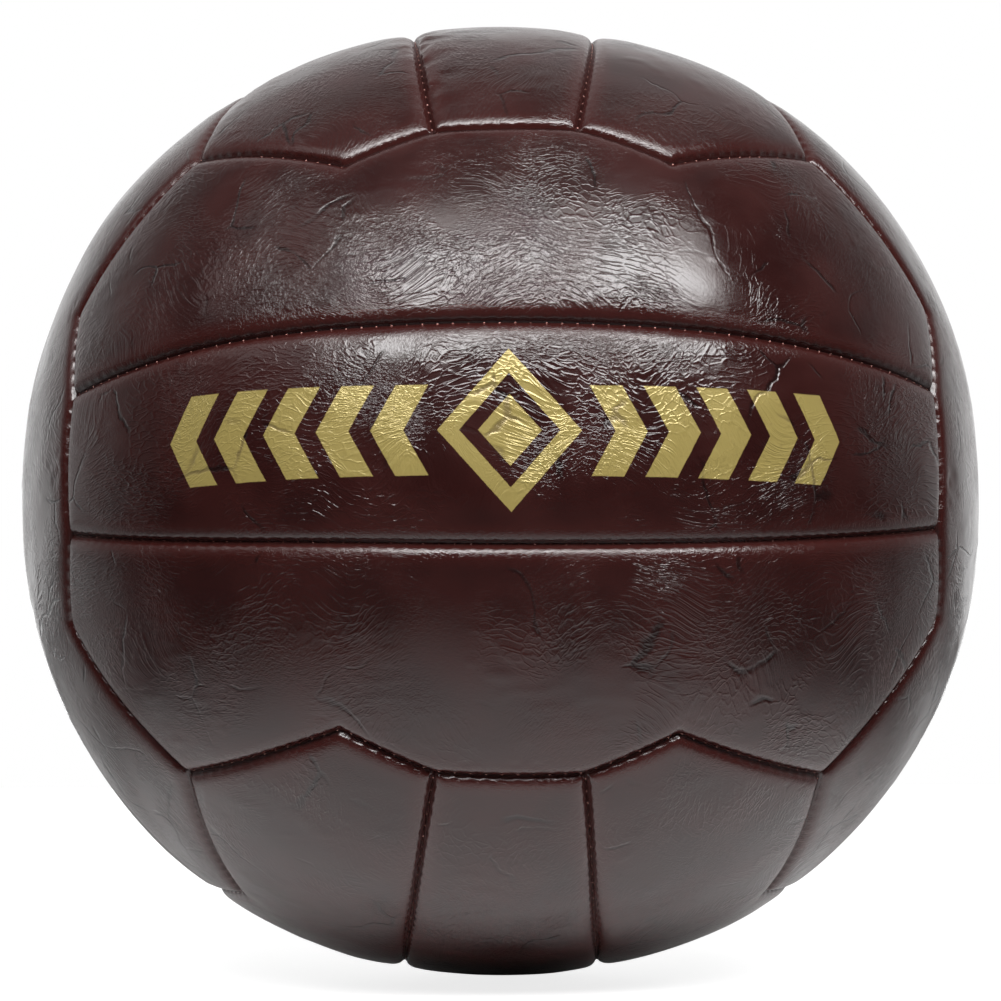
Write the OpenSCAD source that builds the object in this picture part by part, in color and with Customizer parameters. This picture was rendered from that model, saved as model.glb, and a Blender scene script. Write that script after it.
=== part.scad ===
// Stuffed medicine ball with an eighteen-panel stitched cover, in millimetres.
// The origin is the ball's centre and +Z is up. Six groups of three strips cover the ball.
// The front group faces -Y with its strips along X; the other five are turned copies of it.

/* [Ball] */
// Outside diameter of the ball
ball_d = 240; // [180:5:300]

/* [Cover] */
// Thickness of the synthetic leather
leather_t = 1.6; // [1.2:0.1:2.4]
// Thickness of the cloth laminated to the back of the leather
backing_t = 0.8; // [0.4:0.1:1.2]
// Depth of the edge that is turned in and sewn to its neighbour
seam_allowance = 5; // [4:0.5:8]
// Width of the groove between two panels
seam_gap = 1; // [0.9:0.05:1.4]

/* [Panel layout, in degrees on the sphere] */
// How far round the ball each end of a middle strip reaches
strip_end_long = 54.5; // [52:0.5:56]
// Half width of a middle strip at its ends
strip_end_lat = 7.5; // [6:0.5:9]
// Half width of a middle strip halfway along
strip_mid_lat = 11.25; // [10:0.25:12.5]
// How far round the ball the point of an outer strip reaches
point_long = 58; // [56.5:0.5:60]
// Distance of that point from the group's middle line
point_lat = 17; // [15:0.5:19]

/* [Thread] */
// Diameter of the sewing thread
thread_d = 0.8; // [0.6:0.1:0.8]
// Depth of the thread below the outside of the ball
thread_depth = 2.4; // [2:0.1:3]

/* [Filling] */
// Diameter of the weight at the centre
core_d = 62; // [40:1:90]
// Thickness of the cloth of the bag round the weight
core_bag_t = 1.2; // [0.8:0.1:2]
// Clearance between the parts of the filling
filling_gap = 0.2; // [0.1:0.1:0.4]

/* [Hidden] */
$fn = 96;

ball_r = ball_d / 2;
lining_r = ball_r - leather_t;
flange_r = lining_r - seam_allowance;
thread_r = ball_r - thread_depth;
// Clear of everything: the size of the cones and half spaces that cut the panels.
reach = 3 * ball_r;
// Angle between the ends of two threads where three seams meet.
thread_end_gap = 2 * thread_d / ball_r * 180 / PI;
bend_d = 1.15 * thread_d;

LEATHER = [0.235, 0.105, 0.09];
CLOTH = [0.78, 0.74, 0.66];
THREAD = [0.16, 0.06, 0.05];
WADDING = [0.62, 0.58, 0.52];
GRIT = [0.3, 0.3, 0.31];

// Each group: name, turns of 120 degrees about the cube diagonal, half turn about X,
// and the names of its strips from the negative to the positive side of its middle line.
GROUPS = [
    ["front", 0, 0, ["lower", "middle", "upper"]],
    ["back", 0, 1, ["upper", "middle", "lower"]],
    ["bottom", 1, 0, ["left", "middle", "right"]],
    ["top", 1, 1, ["right", "middle", "left"]],
    ["left", 2, 0, ["front", "middle", "rear"]],
    ["right", 2, 1, ["rear", "middle", "front"]]
];
SIDES = [-1, 0, 1];
// Each seam between two groups: name, turns of 120 degrees, half turns about X and Y.
EDGES = [
    ["front_right", 0, 0, 0], ["front_left", 0, 0, 1],
    ["back_right", 0, 1, 0], ["back_left", 0, 1, 1],
    ["bottom_rear", 1, 0, 0], ["bottom_front", 1, 0, 1],
    ["top_rear", 1, 1, 0], ["top_front", 1, 1, 1],
    ["left_top", 2, 0, 0], ["left_bottom", 2, 0, 1],
    ["right_top", 2, 1, 0], ["right_bottom", 2, 1, 1]
];

// ---- Points on the unit sphere, for the front group ----

function unit(v) = v / norm(v);
function on_sphere(long, lat) = [sin(long) * cos(lat), -cos(long) * cos(lat), sin(lat)];
// The point where three groups meet.
CORNER = unit([1, -1, 1]);
STRIP_END = on_sphere(strip_end_long, strip_end_lat);
POINT = on_sphere(point_long, point_lat);

function below(p) = [p.x, p.y, -p.z];
function half_turn(p) = [-p.x, p.y, -p.z];
// The same point of the group above: its strips end on the front group's top edge.
function of_group_above(p) = [p.z, -p.x, -p.y];
function mirrored(p) = [-p.x, p.y, p.z];

// One end of the group, from its lower corner up, and its top edge from right to left.
END_SIDE = [below(CORNER), below(POINT), below(STRIP_END), STRIP_END, POINT];
TOP_SIDE = [
    CORNER, of_group_above(POINT), of_group_above(STRIP_END),
    mirrored(of_group_above(STRIP_END)), mirrored(of_group_above(POINT))
];
OUTLINE = concat(
    END_SIDE, TOP_SIDE,
    [for (p = END_SIDE) half_turn(p)], [for (p = TOP_SIDE) half_turn(p)]
);

// The great circle through a and b, moved to its inner side by an angle.
function inner_plane(a, b, angle) =
    cos(angle) * unit(cross(a, b)) - sin(angle) * unit(a + b);
// An outline moved inwards all round by a distance at the ball's surface.
function inset(outline, distance) =
    let (
        n = len(outline),
        angle = distance / ball_r * 180 / PI,
        planes = [for (i = [0:n - 1]) inner_plane(outline[i], outline[(i + 1) % n], angle)]
    )
    [for (i = [0:n - 1])
        let (v = unit(cross(planes[(i + n - 1) % n], planes[i])))
        v * outline[i] > 0 ? v : -v];

// ---- The planes of the two seams inside a group ----

mid_dist = [cos(strip_mid_lat), sin(strip_mid_lat)];
end_dist = [-STRIP_END.y, STRIP_END.z];
seam_tilt = atan2(mid_dist[1] - end_dist[1], mid_dist[0] - end_dist[0]);
seam_offset = ball_r * (end_dist[1] * cos(seam_tilt) - end_dist[0] * sin(seam_tilt));

// ---- Placing ----

module turned(turns) { rotate(a = 120 * turns, v = [1, 1, 1]) children(); }
module in_group(g) { turned(g[1]) rotate([180 * g[2], 0, 0]) children(); }
module on_edge(e) { turned(e[1]) rotate([180 * e[2], 0, 0]) rotate([0, 180 * e[3], 0]) children(); }

// ---- Cutting shapes ----

// Everything inside the front group's outline, as a cone from the centre.
module group_cone(distance) {
    loop = inset(OUTLINE, distance);
    n = len(loop);
    polyhedron(
        points = concat([[0, 0, 0], [0, -reach, 0]], [for (p = loop) p * reach]),
        faces = concat(
            [for (i = [0:n - 1]) [0, 2 + i, 2 + (i + 1) % n]],
            [for (i = [0:n - 1]) [2 + (i + 1) % n, 2 + i, 1]]
        )
    );
}

// The half space above the upper seam, from this far above the seam's own plane.
module above_seam(distance) {
    rotate([-seam_tilt, 0, 0])
        translate([-reach, -reach, seam_offset + distance])
            cube(2 * reach);
}

// Everything inside one strip of the front group: side is -1, 0 or 1.
module strip_cone(side, distance) {
    if (side == 0) {
        difference() {
            group_cone(distance);
            above_seam(-distance);
            mirror([0, 0, 1]) above_seam(-distance);
        }
    } else {
        mirror([0, 0, side < 0 ? 1 : 0])
            intersection() {
                group_cone(distance);
                above_seam(distance);
            }
    }
}

// ---- Cover ----

// One leather panel: a piece of the ball's skin with its edges turned in for sewing.
module cover_panel(side) {
    color(LEATHER)
        difference() {
            intersection() {
                sphere(ball_r);
                strip_cone(side, seam_gap / 2);
            }
            sphere(flange_r);
            intersection() {
                sphere(lining_r);
                strip_cone(side, seam_gap / 2 + leather_t);
            }
        }
}

// The cloth on the back of one panel, inside its turned-in edges.
module backing(side) {
    color(CLOTH)
        difference() {
            intersection() {
                sphere(lining_r);
                strip_cone(side, seam_gap / 2 + leather_t);
            }
            sphere(lining_r - backing_t);
        }
}

// ---- Thread ----

// A length of thread along a circle round Z, from -half to half degrees about X.
module thread_arc(radius, half) {
    rotate([0, 0, -half])
        rotate_extrude(angle = 2 * half)
            translate([radius, 0]) circle(d = thread_d, $fn = 24);
}

// Thread along the great circle from a to b, cut short by an angle at either end.
module thread_between(a, b, short_a = 0, short_b = 0) {
    middle = unit(a + b);
    along = unit(b - a);
    side = cross(middle, along);
    half = acos(a * b) / 2;
    multmatrix([
        [middle.x, along.x, side.x, 0],
        [middle.y, along.y, side.y, 0],
        [middle.z, along.z, side.z, 0]
    ])
        rotate([0, 0, (short_a - short_b) / 2])
            thread_arc(thread_r, half - (short_a + short_b) / 2);
}

// The seam between the front and right groups, from corner to corner.
module edge_thread() {
    stops = concat(END_SIDE, [CORNER]);
    last = len(stops) - 2;
    color(THREAD) {
        for (i = [0:last]) {
            thread_between(
                stops[i], stops[i + 1],
                i == 0 ? thread_end_gap : 0, i == last ? thread_end_gap : 0
            );
        }
        for (i = [1:last])
            translate(stops[i] * thread_r) sphere(d = bend_d, $fn = 24);
    }
}

// The thread of the upper seam inside the front group, from side to side.
module strip_thread() {
    circle_r = sqrt(pow(thread_r, 2) - pow(seam_offset, 2));
    half = asin(STRIP_END.x * thread_r / circle_r) - thread_end_gap;
    color(THREAD)
        rotate([-seam_tilt, 0, 0])
            translate([0, 0, seam_offset])
                rotate([0, 0, -90]) thread_arc(circle_r, half);
}

// Both seams inside a group, or only the one that isn't the closing seam.
module strip_threads(g) {
    if (g[0] != "top")
        strip_thread();
    mirror([0, 0, 1]) strip_thread();
}

// ---- Filling ----

core_bag_r = core_d / 2 + core_bag_t;

// Half of a hollow ball, lying on the side of the XY plane that turn chooses.
module half_shell(outer_r, inner_r, turn) {
    rotate([turn, 0, 0])
        difference() {
            sphere(outer_r);
            sphere(inner_r);
            translate([0, 0, filling_gap / 2 - reach])
                cube(2 * reach, center = true);
        }
}

module stuffing(turn) {
    color(WADDING)
        half_shell(flange_r - filling_gap, core_bag_r + filling_gap, turn);
}

module core_bag(turn) {
    color(CLOTH) half_shell(core_bag_r, core_d / 2, turn);
}

module core_fill() { color(GRIT) sphere(d = core_d - 2 * filling_gap); }

// ---- The parts ----

for (g = GROUPS) {
    for (s = SIDES) {
        in_group(g) cover_panel(s);
        in_group(g) backing(s);
    }
    in_group(g) strip_threads(g);
}
for (e = EDGES)
    on_edge(e) edge_thread();
in_group(GROUPS[3]) strip_thread();  // closing_thread
stuffing(0);  // stuffing_upper
stuffing(180);  // stuffing_lower
core_bag(0);  // core_bag_upper
core_bag(180);  // core_bag_lower
core_fill();
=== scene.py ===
"""The looks of the stuffed medicine ball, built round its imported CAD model.

Lengths are millimetres while a shape is worked out, and metres in Blender.
A cover panel is worked out in the frame of the front group of strips, which faces -Y,
and then turned to its own group's place, as in the CAD.
"""

import math

import bmesh
import bpy
import numpy as np
from mathutils import Matrix, Vector
from mathutils.kdtree import KDTree


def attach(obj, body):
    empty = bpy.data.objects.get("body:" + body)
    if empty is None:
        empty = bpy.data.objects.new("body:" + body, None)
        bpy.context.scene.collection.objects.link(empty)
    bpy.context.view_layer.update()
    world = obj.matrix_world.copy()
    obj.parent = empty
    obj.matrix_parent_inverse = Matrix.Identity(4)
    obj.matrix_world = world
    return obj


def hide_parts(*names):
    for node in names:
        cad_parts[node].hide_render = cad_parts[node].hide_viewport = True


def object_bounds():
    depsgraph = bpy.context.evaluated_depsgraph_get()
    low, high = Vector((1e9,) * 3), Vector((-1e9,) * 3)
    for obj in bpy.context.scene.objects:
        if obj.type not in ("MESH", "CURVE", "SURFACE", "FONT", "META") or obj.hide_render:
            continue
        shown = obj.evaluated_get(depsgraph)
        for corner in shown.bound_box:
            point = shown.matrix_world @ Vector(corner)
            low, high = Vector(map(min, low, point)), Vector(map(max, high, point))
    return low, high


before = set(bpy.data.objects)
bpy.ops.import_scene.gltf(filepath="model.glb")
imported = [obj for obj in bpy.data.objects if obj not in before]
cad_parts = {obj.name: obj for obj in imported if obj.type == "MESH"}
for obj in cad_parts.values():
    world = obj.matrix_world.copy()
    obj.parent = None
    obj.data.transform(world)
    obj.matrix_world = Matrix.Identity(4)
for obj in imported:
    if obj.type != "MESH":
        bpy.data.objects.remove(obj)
CAD_LOW, CAD_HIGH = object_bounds()

MM = 0.001

# ---- Sizes ----

BALL_R = round((CAD_HIGH.x - CAD_LOW.x) / 2 / MM)

# Panel layout, in degrees on the sphere, as in the CAD.
STRIP_END_LONG = 54.5
STRIP_END_LAT = 7.5
STRIP_MID_LAT = 11.25
POINT_LONG = 58.0
POINT_LAT = 17.0

LEATHER_T = 1.6
BACKING_T = 0.8
BACKING_INSET = 2.1
FLANGE_DEPTH = 5.0
STITCH_PITCH = 3.3
THREAD_D = 0.8

# Cover panel's shape: how far it drops at its edge and over what width, and its broad crown.
EDGE_DROP = 1.5
EDGE_WIDTH = 3.2
CROWN_DROP = 0.4
CROWN_WIDTH = 13.0
# How far the ball's corners stand out past its flat middles, as a share of its radius.
CORNER_BULGE = 0.034
# How far the ball's crown stands out past the CAD sphere, its sides spread and its top sinks as it
# rests, and the height and length of its broad waves.
CROWN_RISE = 1.0
SIDE_SPREAD = 0.9
TOP_SINK = 1.1
BALL_WAVE = 0.22
BALL_WAVELENGTH = 60
# Half width of the groove at a stitch and halfway between two stitches, the share it's wider by along
# the hand-closed seam, and the distance over which the leather gives way to it.
GROOVE_TIGHT = 0.25
GROOVE_OPEN = 0.62
GROOVE_LOOSE = 0.1
GROOVE_FADE = 1.6

# Mesh spacing on a panel: at its edges and in its middle.
FINE_STEP = 0.16
COARSE_STEP = 0.66
STEP_GROWTH = 1.3
# The inside of a panel keeps every so many rows of the outside.
INNER_STRIDE = 4

GROUPS = {
    "front": (0, 0, ("lower", "middle", "upper")),
    "back": (0, 1, ("upper", "middle", "lower")),
    "bottom": (1, 0, ("left", "middle", "right")),
    "top": (1, 1, ("right", "middle", "left")),
    "left": (2, 0, ("front", "middle", "rear")),
    "right": (2, 1, ("rear", "middle", "front")),
}
SIDES = (-1, 0, 1)
# Seams between groups: turns of 120 degrees, half turns about X and about Y.
EDGES = {
    "front_right": (0, 0, 0), "front_left": (0, 0, 1),
    "back_right": (0, 1, 0), "back_left": (0, 1, 1),
    "bottom_rear": (1, 0, 0), "bottom_front": (1, 0, 1),
    "top_rear": (1, 1, 0), "top_front": (1, 1, 1),
    "left_top": (2, 0, 0), "left_bottom": (2, 0, 1),
    "right_top": (2, 1, 0), "right_bottom": (2, 1, 1),
}


# ---- Directions and turns ----


def unit(v):
    v = np.asarray(v, float)
    return v / np.linalg.norm(v, axis=-1, keepdims=True)


def on_sphere(long, lat):
    long, lat = math.radians(long), math.radians(lat)
    return np.array([math.sin(long) * math.cos(lat), -math.cos(long) * math.cos(lat), math.sin(lat)])


def turn(degrees, axis):
    return np.array(Matrix.Rotation(math.radians(degrees), 3, Vector(axis)))


def group_turn(name):
    turns, half, _ = GROUPS[name]
    return turn(120 * turns, (1, 1, 1)) @ turn(180 * half, (1, 0, 0))


def edge_turn(name):
    turns, half_x, half_y = EDGES[name]
    return turn(120 * turns, (1, 1, 1)) @ turn(180 * half_x, (1, 0, 0)) @ turn(180 * half_y, (0, 1, 0))


MIRROR_X = np.array([-1.0, 1.0, 1.0])
MIRROR_Z = np.array([1.0, 1.0, -1.0])
CORNER = unit([1, -1, 1])
STRIP_END = on_sphere(STRIP_END_LONG, STRIP_END_LAT)
POINT = on_sphere(POINT_LONG, POINT_LAT)


def of_group_above(p):
    """The same point of the group above, whose strips end on the front group's top edge."""
    return np.array([p[2], -p[0], -p[1]])


# ---- Seams ----


class Arc:
    """A stretch of seam from a to b on a circle of the unit sphere. It knows its place in its seam.

    start is the seam's length up to a, and total the whole seam's, in millimetres.
    """

    def __init__(self, a, b, normal=None, start=0.0, total=None):
        self.a, self.b = unit(a), unit(b)
        self.normal = unit(np.cross(self.a, self.b)) if normal is None else unit(normal)
        self.offset = float(self.a @ self.normal)
        self.x = unit(self.a - self.offset * self.normal)
        self.y = np.cross(self.normal, self.x)
        self.radius = math.sqrt(1 - self.offset ** 2)
        self.sweep = math.atan2(self.b @ self.y, self.b @ self.x) % (2 * math.pi)
        self.length = self.sweep * self.radius * BALL_R
        self.start = start
        self.total = self.length if total is None else total

    def at(self, share):
        """Points at these shares of the way from a to b."""
        angle = np.asarray(share, float)[..., None] * self.sweep
        return (np.cos(angle) * self.x + np.sin(angle) * self.y) * self.radius + self.offset * self.normal

    def measure(self, p):
        """Distance in millimetres, direction away from the seam, and place along it, for each point."""
        angle = np.arctan2(p @ self.y, p @ self.x)
        middle = self.sweep / 2
        angle = (angle - middle + math.pi) % (2 * math.pi) - math.pi + middle
        foot = self.at(np.clip(angle, 0, self.sweep) / self.sweep)
        away = p - foot
        away -= np.sum(away * p, axis=1, keepdims=True) * p
        size = np.linalg.norm(away, axis=1)
        reach = np.linalg.norm(p - foot, axis=1) * BALL_R
        place = self.start + np.clip(angle / self.sweep, 0, 1) * self.length
        return reach, away / np.maximum(size, 1e-9)[:, None], place


def chain(points):
    """The arcs of one seam through these points, along great circles."""
    arcs = [Arc(a, b) for a, b in zip(points, points[1:])]
    total = sum(arc.length for arc in arcs)
    start = 0.0
    for arc in arcs:
        arc.start, arc.total = start, total
        start += arc.length
    return arcs


def strip_seam():
    """The upper seam inside the front group, from left to right."""
    middle = on_sphere(0, STRIP_MID_LAT)
    tilt = math.atan2(middle[2] - STRIP_END[2], STRIP_END[1] - middle[1])
    return Arc(STRIP_END * MIRROR_X, STRIP_END, normal=[0, math.sin(tilt), math.cos(tilt)])


SIDE_POINTS = [CORNER * MIRROR_Z, POINT * MIRROR_Z, STRIP_END * MIRROR_Z, STRIP_END, POINT, CORNER]
STRIP_SEAM = strip_seam()
RIGHT_SEAM = chain(SIDE_POINTS)
LEFT_SEAM = chain([p * MIRROR_X for p in SIDE_POINTS])
TOP_SEAM = chain([
    CORNER * MIRROR_X,
    of_group_above(POINT) * MIRROR_X, of_group_above(STRIP_END) * MIRROR_X,
    of_group_above(STRIP_END), of_group_above(POINT),
    CORNER,
])


def mirrored_arc(arc):
    """The arc on the other side of the group's middle line."""
    flipped = Arc(arc.a * MIRROR_Z, arc.b * MIRROR_Z, normal=-arc.normal * MIRROR_Z)
    flipped.start, flipped.total = arc.start, arc.total
    return flipped


# ---- Panel outlines: four sides, each a list of arcs ----


def outer_strip():
    """The upper strip: bottom and top sides run left to right, left and right sides upwards."""
    return {
        "bottom": [STRIP_SEAM], "top": TOP_SEAM,
        "left": LEFT_SEAM[3:], "right": RIGHT_SEAM[3:],
    }


def middle_strip():
    return {
        "bottom": [mirrored_arc(STRIP_SEAM)], "top": [STRIP_SEAM],
        "left": LEFT_SEAM[2:3], "right": RIGHT_SEAM[2:3],
    }


def along_side(arcs, shares):
    """Points at these shares of a side's whole length."""
    lengths = np.array([arc.length for arc in arcs])
    ends = np.concatenate([[0], np.cumsum(lengths)]) / lengths.sum()
    points = np.zeros((len(shares), 3))
    for i, arc in enumerate(arcs):
        here = (shares >= ends[i]) & (shares <= ends[i + 1])
        points[here] = arc.at((shares[here] - ends[i]) / (ends[i + 1] - ends[i]))
    return points


def graded(length):
    """Shares from 0 to 1, close together near both ends, with a number of steps the inside can share."""
    steps = [FINE_STEP]
    while steps[-1] * STEP_GROWTH < COARSE_STEP:
        steps.append(steps[-1] * STEP_GROWTH)
    rest = length - 2 * sum(steps)
    count = max(1, round(rest / COARSE_STEP))
    count += -(count + 2 * len(steps)) % INNER_STRIDE
    steps = steps + [rest / count] * count + steps[::-1]
    return np.concatenate([[0], np.cumsum(steps)]) / sum(steps)


def panel_grid(outline):
    """Directions of a grid that fills the outline, rows from bottom to top, blended from its four sides."""
    u = graded(sum(arc.length for arc in outline["bottom"]))
    middle_height = 2 * STRIP_MID_LAT if len(outline["right"]) == 1 else 45 - STRIP_MID_LAT
    v = graded(math.radians(middle_height) * BALL_R)
    bottom, top = along_side(outline["bottom"], u), along_side(outline["top"], u)
    left, right = along_side(outline["left"], v), along_side(outline["right"], v)
    uu, vv = u[None, :, None], v[:, None, None]
    grid = (1 - vv) * bottom[None] + vv * top[None] + (1 - uu) * left[:, None] + uu * right[:, None]
    grid -= (1 - vv) * ((1 - uu) * bottom[0] + uu * bottom[-1])
    grid -= vv * ((1 - uu) * top[0] + uu * top[-1])
    return unit(grid)


# ---- Irregularities ----


def waves(p, wavelength, seed, count=28):
    """Smooth random relief of unit strength with this wavelength in millimetres, for directions p."""
    random = np.random.default_rng(seed)
    turns = unit(random.normal(size=(count, 3))) * random.uniform(0.75, 1.3, (count, 1))
    phases = random.uniform(0, 2 * math.pi, count)
    angle = (p * BALL_R) @ (turns * 2 * math.pi / wavelength).T + phases
    return np.cos(angle).sum(axis=1) / math.sqrt(count / 2)


def smooth_step(low, high, x):
    t = np.clip((x - low) / (high - low), 0, 1)
    return t * t * (3 - 2 * t)


# The sewing isn't perfect: seams wander by about half a millimetre, and the front band sits low.
SEAM_WANDER = 0.45
WANDER_WAVELENGTH = 120.0
FRONT_SHIFT = 1.9
FRONT_REACH = 0.42
# The mean over the sphere of x^4 + y^4 + z^4.
MEAN_FOURTH_POWERS = 0.6


def sewn(p):
    """Directions moved a little sideways, the same for every piece of the cover."""
    slip = np.stack([waves(p, WANDER_WAVELENGTH, 11 + axis) for axis in range(3)], axis=1) * SEAM_WANDER
    near = np.exp(-np.sum((p - [0, -1, 0]) ** 2, axis=1) / FRONT_REACH ** 2)
    slip[:, 2] -= near * FRONT_SHIFT
    slip -= np.sum(slip * p, axis=1, keepdims=True) * p
    return unit(p + slip / BALL_R)


def ball_radius(p):
    """Radius of the ball's crown in each direction: flatter at the middles of the groups."""
    flatness = MEAN_FOURTH_POWERS - np.sum(p ** 4, axis=1)
    settled = SIDE_SPREAD * p[:, 0] ** 2 - TOP_SINK * np.clip(p[:, 2], 0, 1) ** 2
    uneven = BALL_WAVE * waves(p, BALL_WAVELENGTH, 3)
    return BALL_R * (1 + CORNER_BULGE * flatness) + CROWN_RISE + settled + uneven


# ---- Cover panels ----

# The seam that was left open for stuffing and sewn up by hand: its group and where it starts and ends.
CLOSING_GROUP = "top"
CLOSING_START = 6.0
CLOSING_END = 74.0


def groove_half(place, total, loose):
    """Half width of the groove at each place: pinched at the stitches, open between them."""
    pitch = total / round(total / STITCH_PITCH)
    between = np.abs(np.cos(math.pi * place / pitch)) ** 0.8
    return (GROOVE_TIGHT + (GROOVE_OPEN - GROOVE_TIGHT) * between) * (1 + GROOVE_LOOSE * loose)


def looseness(arc, place, closing):
    """1 along the hand-closed part of a closing seam, 0 elsewhere."""
    if not closing or arc.offset == 0 or arc.normal[2] * arc.offset < 0:
        return np.zeros_like(place)
    return smooth_step(CLOSING_START - 4, CLOSING_START + 4, place) \
        * (1 - smooth_step(CLOSING_END - 14, CLOSING_END, place))


def measure_seams(p, arcs):
    """For each arc: distance, direction away, place along the seam."""
    return [arc.measure(p) for arc in arcs]


def seam_distance(measures, sharpness=4.0):
    """Distance to the nearest seam, rounded off where two seams meet."""
    near = sum(np.maximum(m[0], 1e-3) ** -sharpness for m in measures)
    return near ** (-1 / sharpness)


def push_from_seams(p, measures, widths, fade):
    """Directions moved away from each seam by its width in millimetres, less further in."""
    weights = [np.exp(-m[0] / fade) for m in measures]
    push = np.zeros_like(p)
    for i, (m, w) in enumerate(zip(measures, weights)):
        shared = 1.0 + sum(
            weights[j] * np.sum(m[1] * other[1], axis=1)
            for j, other in enumerate(measures) if j != i
        )
        push += (w * widths[i] / np.maximum(shared, 0.3))[:, None] * m[1]
    return unit(p + push / BALL_R)


def edge_profile(distance):
    """How far the panel lies below its crown at this distance from its edge."""
    roll = 1 - np.clip(distance / EDGE_WIDTH, 0, 1)
    crown = 1 - np.clip(distance / CROWN_WIDTH, 0, 1)
    return EDGE_DROP * (1 - np.sqrt(1 - roll ** 2)) + CROWN_DROP * crown ** 2


def loop_of(rows, columns):
    """Indices round the edge of a grid, anticlockwise from its first corner."""
    index = np.arange(rows * columns).reshape(rows, columns)
    return np.concatenate([index[0, :-1], index[:-1, -1], index[-1, :0:-1], index[:0:-1, 0]])


def grid_faces(rows, columns, first, flip):
    index = np.arange(rows * columns).reshape(rows, columns) + first
    quads = np.stack([index[:-1, :-1], index[:-1, 1:], index[1:, 1:], index[1:, :-1]], axis=-1).reshape(-1, 4)
    return quads[:, ::-1] if flip else quads


def band_faces(upper, lower):
    """Quads between two closed loops of the same length, the upper one first."""
    return np.stack([upper, lower, np.roll(lower, -1), np.roll(upper, -1)], axis=-1)


class Panel:
    """One leather panel as a closed mesh: skin, turned-in edges and back."""

    # Depth of each row of the turned-in edge below the skin's edge, and its distance from the seam's
    # middle: a share of the groove's half width and a fixed part.
    FLANGE_ROWS = (
        (0.3, 1.03, 0.0), (0.8, 0.98, 0.0), (1.4, 0.85, 0.0), (2.0, 0.5, 0.03),
        (2.6, 0.15, 0.08), (3.6, 0.0, 0.14), (FLANGE_DEPTH, 0.0, 0.18),
    )

    # Distances from the seams between which the simulated leather is held less and less.
    HELD_FULLY = 0.5
    HELD_WIDTH = 4.0

    # Height of the puckers along the hand-closed seam, on the middle strip and on the one beside it.
    PUCKERS_MIDDLE = 0.55
    PUCKERS_OUTER = 0.15

    def __init__(self, group, side, seed):
        self.turn = group_turn(group)
        self.mirror = side < 0
        self.seed = seed
        self.closing = group == CLOSING_GROUP and side >= 0
        self.pucker_height = self.PUCKERS_MIDDLE if side == 0 else self.PUCKERS_OUTER
        self.outline = middle_strip() if side == 0 else outer_strip()
        self.arcs = [arc for name in ("bottom", "right", "top", "left") for arc in self.outline[name]]
        self.grid = panel_grid(self.outline)
        self.inner = self.grid[::INNER_STRIDE, ::INNER_STRIDE]
        self.swell = np.zeros(self.inner.shape[:2])

    def cloth(self):
        """The leather before it's pushed out: directions, points, faces, and how firmly points are held."""
        p = self.inner.reshape(-1, 3)
        distance = seam_distance(measure_seams(p, self.arcs))
        directions = self.place(p)
        points = directions * (ball_radius(directions) - edge_profile(distance))[:, None]
        faces = grid_faces(*self.inner.shape[:2], 0, self.mirror)
        return directions, points, faces, 1 - smooth_step(self.HELD_FULLY, self.HELD_WIDTH, distance)

    def place(self, p):
        """From the front group's frame to the ball's, with the sewing's own irregularity."""
        if self.mirror:
            p = p * MIRROR_Z
        return sewn(p @ self.turn.T)

    def relief(self, p, distance, measures):
        """Soft dents and swells of the stuffed leather, and the pull of each stitch on its edge."""
        inside = smooth_step(1.0, 9.0, distance)
        world = (p * MIRROR_Z if self.mirror else p) @ self.turn.T
        height = inside * (0.05 * waves(world, 40, self.seed) + 0.02 * waves(world, 14, self.seed + 1))
        folds = np.clip(waves(world * [1, 1, 2.2], 9, self.seed + 2), 0, None)
        height += inside * 0.03 * folds * (waves(world, 45, self.seed + 3) > 0)
        for arc, (reach, _, along) in zip(self.arcs, measures):
            pitch = arc.total / round(arc.total / STITCH_PITCH)
            pinch = 0.5 - 0.5 * np.cos(2 * math.pi * along / pitch)
            height -= 0.1 * pinch * np.exp(-reach / 1.1)
            loose = looseness(arc, along, self.closing)
            pucker = np.clip(waves(world * [0.4, 1, 0.4], 5.2, 77), -1, 1)
            height += self.pucker_height * loose * pucker * np.exp(-reach / 4.5) * smooth_step(0, 0.8, reach)
        return height

    def build(self, name):
        rows, columns = self.grid.shape[:2]
        p = self.grid.reshape(-1, 3)
        measures = measure_seams(p, self.arcs)
        distance = seam_distance(measures)
        widths = [
            groove_half(m[2], arc.total, looseness(arc, m[2], self.closing))
            for arc, m in zip(self.arcs, measures)
        ]
        skin = push_from_seams(p, measures, widths, GROOVE_FADE)
        height = self.relief(p, distance, measures) - edge_profile(distance)
        free = smooth_step(self.HELD_FULLY, self.HELD_WIDTH, distance)
        height += in_between(self.swell, rows, columns).ravel() * free
        placed = self.place(skin)
        radius = ball_radius(placed) + height

        points = [placed * radius[:, None]]
        depth = [distance]
        flat = [self.flat(p)]
        faces = [grid_faces(rows, columns, 0, False)]
        loop = loop_of(rows, columns)
        last = loop
        edge_radius = radius[loop]
        edge_measures = [tuple(part[loop] for part in m) for m in measures]
        count = len(p)
        for down, share, fixed in self.FLANGE_ROWS:
            row_widths = [w[loop] * share + fixed for w in widths]
            row = self.place(push_from_seams(p[loop], edge_measures, row_widths, GROOVE_FADE))
            points.append(row * (edge_radius - down)[:, None])
            depth.append(np.full(len(loop), -down))
            flat.append(self.flat(p[loop]))
            now = np.arange(count, count + len(loop))
            faces.append(band_faces(last, now))
            last = now
            count += len(loop)
        self.inner_radius = radius.reshape(rows, columns)[::INNER_STRIDE, ::INNER_STRIDE].ravel()
        self.close_back(points, depth, flat, faces, last)
        return self.finish_mesh(name, points, depth, flat, faces)

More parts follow.
